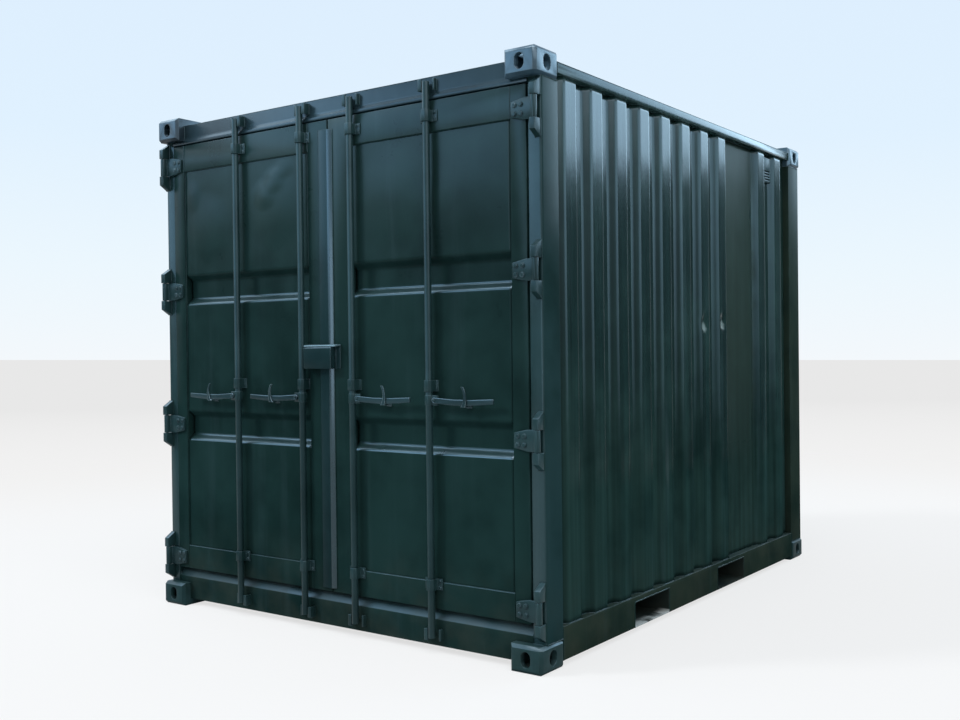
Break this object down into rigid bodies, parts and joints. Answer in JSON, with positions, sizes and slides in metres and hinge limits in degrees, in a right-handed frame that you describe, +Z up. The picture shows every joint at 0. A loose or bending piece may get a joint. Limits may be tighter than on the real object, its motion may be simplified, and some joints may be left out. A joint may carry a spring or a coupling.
{
  "type": "shipping container",
  "caption": "Short steel freight container with corrugated walls, corner castings, fork pockets and a pair of hinged cargo doors with lock rods and handles.",
  "frame": {"origin": "centre of the footprint, on the ground under the bottom corner castings", "axes": "+Z up, +Y towards the blind end, away from the doors, +X to the right seen from outside the doors"},
  "size_m": [2.438, 3.048, 2.591],
  "materials": {
    "wall_paint": "dark green satin paint on corrugated steel, a little faded and stained",
    "fittings_paint": "the same dark green paint, brushed over the door gear",
    "casting_paint": "dark green paint on cast steel, worn at the edges",
    "underframe_paint": "dull dark paint under the floor",
    "gasket_rubber": "black door seal",
    "floor_plywood": "varnished plywood, plain"
  },
  "bodies": {
    "frame": {"top_corner_castings": "casting_paint", "bottom_corner_castings": "casting_paint", "corner_post_door_left": "wall_paint", "corner_post_door_right": "wall_paint", "corner_post_rear_left": "wall_paint", "corner_post_rear_right": "wall_paint", "door_header": "wall_paint", "door_sill": "wall_paint", "cam_keepers": "fittings_paint", "hinge_lugs": "fittings_paint", "rear_top_rail": "wall_paint", "rear_sill": "wall_paint", "top_side_rail_left": "wall_paint", "top_side_rail_right": "wall_paint", "bottom_side_rail_left": "wall_paint", "bottom_side_rail_right": "wall_paint", "fork_pockets": "underframe_paint", "cross_members": "underframe_paint", "floor_boards": "floor_plywood", "roof_panel": "wall_paint", "side_wall_left": "wall_paint", "side_wall_right": "wall_paint", "end_wall": "wall_paint", "side_vent": "fittings_paint"},
    "right_door": {"door_frame_right": "wall_paint", "door_panel_right": "wall_paint", "door_gasket_right": "gasket_rubber", "hinge_blades_right": "fittings_paint", "rod_guides_right": "fittings_paint", "handle_holders_right": "fittings_paint", "overlap_plate": "wall_paint", "lock_box": "fittings_paint"},
    "left_door": {"door_frame_left": "wall_paint", "door_panel_left": "wall_paint", "door_gasket_left": "gasket_rubber", "hinge_blades_left": "fittings_paint", "rod_guides_left": "fittings_paint", "handle_holders_left": "fittings_paint"},
    "right_inner_rod": {"inner_lock_rod_right": "fittings_paint"},
    "right_inner_handle": {"inner_handle_right": "fittings_paint"},
    "right_outer_rod": {"outer_lock_rod_right": "fittings_paint"},
    "right_outer_handle": {"outer_handle_right": "fittings_paint"},
    "left_inner_rod": {"inner_lock_rod_left": "fittings_paint"},
    "left_inner_handle": {"inner_handle_left": "fittings_paint"},
    "left_outer_rod": {"outer_lock_rod_left": "fittings_paint"},
    "left_outer_handle": {"outer_handle_left": "fittings_paint"}
  },
  "joints": [
    {"name": "right_door_hinge", "type": "hinge", "parent": "frame", "child": "right_door", "pos_m": [1.197, -1.506, 1.3], "axis": [0, 0, 1], "range_deg": [0, 260]},
    {"name": "left_door_hinge", "type": "hinge", "parent": "frame", "child": "left_door", "pos_m": [-1.197, -1.506, 1.3], "axis": [0, 0, -1], "range_deg": [0, 260]},
    {"name": "right_inner_rod_turn", "type": "hinge", "parent": "right_door", "child": "right_inner_rod", "pos_m": [0.165, -1.503, 1.3], "axis": [0, 0, 1], "range_deg": [-105, 0]},
    {"name": "right_inner_handle_lift", "type": "hinge", "parent": "right_inner_rod", "child": "right_inner_handle", "pos_m": [0.201, -1.513, 1.124], "axis": [0, 1, 0], "range_deg": [-30, 0]},
    {"name": "right_outer_rod_turn", "type": "hinge", "parent": "right_door", "child": "right_outer_rod", "pos_m": [0.625, -1.503, 1.3], "axis": [0, 0, 1], "range_deg": [-105, 0]},
    {"name": "right_outer_handle_lift", "type": "hinge", "parent": "right_outer_rod", "child": "right_outer_handle", "pos_m": [0.661, -1.513, 1.124], "axis": [0, 1, 0], "range_deg": [-30, 0]},
    {"name": "left_inner_rod_turn", "type": "hinge", "parent": "left_door", "child": "left_inner_rod", "pos_m": [-0.165, -1.503, 1.3], "axis": [0, 0, -1], "range_deg": [-105, 0]},
    {"name": "left_inner_handle_lift", "type": "hinge", "parent": "left_inner_rod", "child": "left_inner_handle", "pos_m": [-0.201, -1.513, 1.124], "axis": [0, -1, 0], "range_deg": [-30, 0]},
    {"name": "left_outer_rod_turn", "type": "hinge", "parent": "left_door", "child": "left_outer_rod", "pos_m": [-0.625, -1.503, 1.3], "axis": [0, 0, -1], "range_deg": [-105, 0]},
    {"name": "left_outer_handle_lift", "type": "hinge", "parent": "left_outer_rod", "child": "left_outer_handle", "pos_m": [-0.661, -1.513, 1.124], "axis": [0, -1, 0], "range_deg": [-30, 0]}
  ]
}
